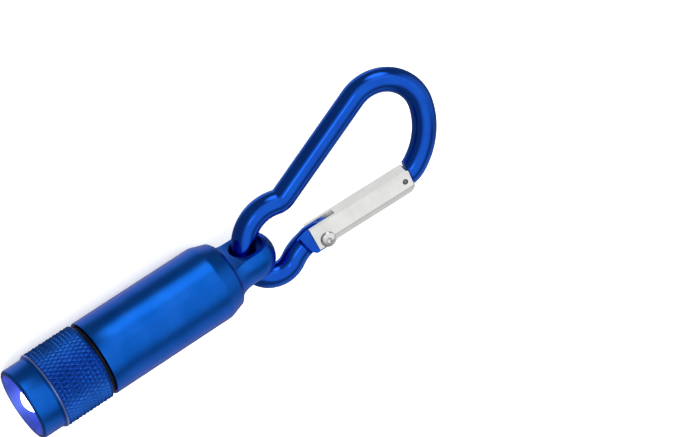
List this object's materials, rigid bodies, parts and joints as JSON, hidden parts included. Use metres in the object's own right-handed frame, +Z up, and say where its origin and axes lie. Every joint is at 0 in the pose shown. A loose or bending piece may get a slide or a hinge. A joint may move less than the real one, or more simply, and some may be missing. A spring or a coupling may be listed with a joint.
{
  "type": "keychain flashlight",
  "caption": "Small keychain flashlight with a knurled twist head, a conical lamp cup and a bent-wire carabiner clip whose sprung gate snaps shut.",
  "frame": {"origin": "centre of the object's box, on the surface that it lies on", "axes": "+Y along the flashlight from lamp rim to clip, +X along the lug's hole, +Z up"},
  "size_m": [0.0254, 0.0776, 0.014],
  "materials": {
    "satin_blue": "satin blue anodised",
    "gloss_blue": "glossy blue anodised",
    "plain_aluminium": "satin, lightly worn",
    "black_rubber": "matte",
    "lamp_resin": "clear, glowing when lit",
    "phosphor": "matte, glowing when lit",
    "white_plastic": "matte",
    "brass": "polished",
    "bright_steel": "bright nickel plated"
  },
  "bodies": {
    "torch": {"barrel": "satin_blue", "tail_spring": "bright_steel", "o_ring": "black_rubber", "battery_sleeve": "white_plastic"},
    "cells": {"battery_cell_1": "bright_steel", "battery_cell_2": "bright_steel", "battery_cell_3": "bright_steel", "battery_cell_4": "bright_steel"},
    "head": {"head_shell": "satin_blue", "led_lamp": "lamp_resin", "led_chip": "phosphor", "lead_positive": "bright_steel", "lead_negative": "bright_steel", "led_holder": "white_plastic", "contact_disc": "brass"},
    "clip": {"carabiner_hook": "gloss_blue", "gate_rivet": "plain_aluminium"},
    "gate": {"gate": "plain_aluminium", "latch_pin": "bright_steel", "gate_spring": "bright_steel"}
  },
  "joints": [
    {"name": "battery_travel", "type": "slide", "parent": "torch", "child": "cells", "axis": [0, -1, 0], "range_m": [0, 0.000562]},
    {"name": "head_twist", "type": "hinge", "parent": "cells", "child": "head", "pos_m": [0.00618, -0.0388, 0.00636], "axis": [0, -1, 0], "range_deg": [0, 270]},
    {"name": "clip_swing", "type": "hinge", "parent": "torch", "child": "clip", "pos_m": [0.00618, 0.0033, 0.00636], "axis": [1, 0, 0], "range_deg": [-125, 95]},
    {"name": "gate_open", "type": "hinge", "parent": "clip", "child": "gate", "pos_m": [0.0085, 0.01513, 0.00938], "axis": [-0.22, -0.2033, 0.9541], "range_deg": [0, 30], "stiffness_Nm_per_rad": 0.004, "springref_deg": -34.38}
  ],
  "couplings": [
    {"joint": "head_twist", "follows": "battery_travel", "rad_per_m": 8377.6}
  ]
}
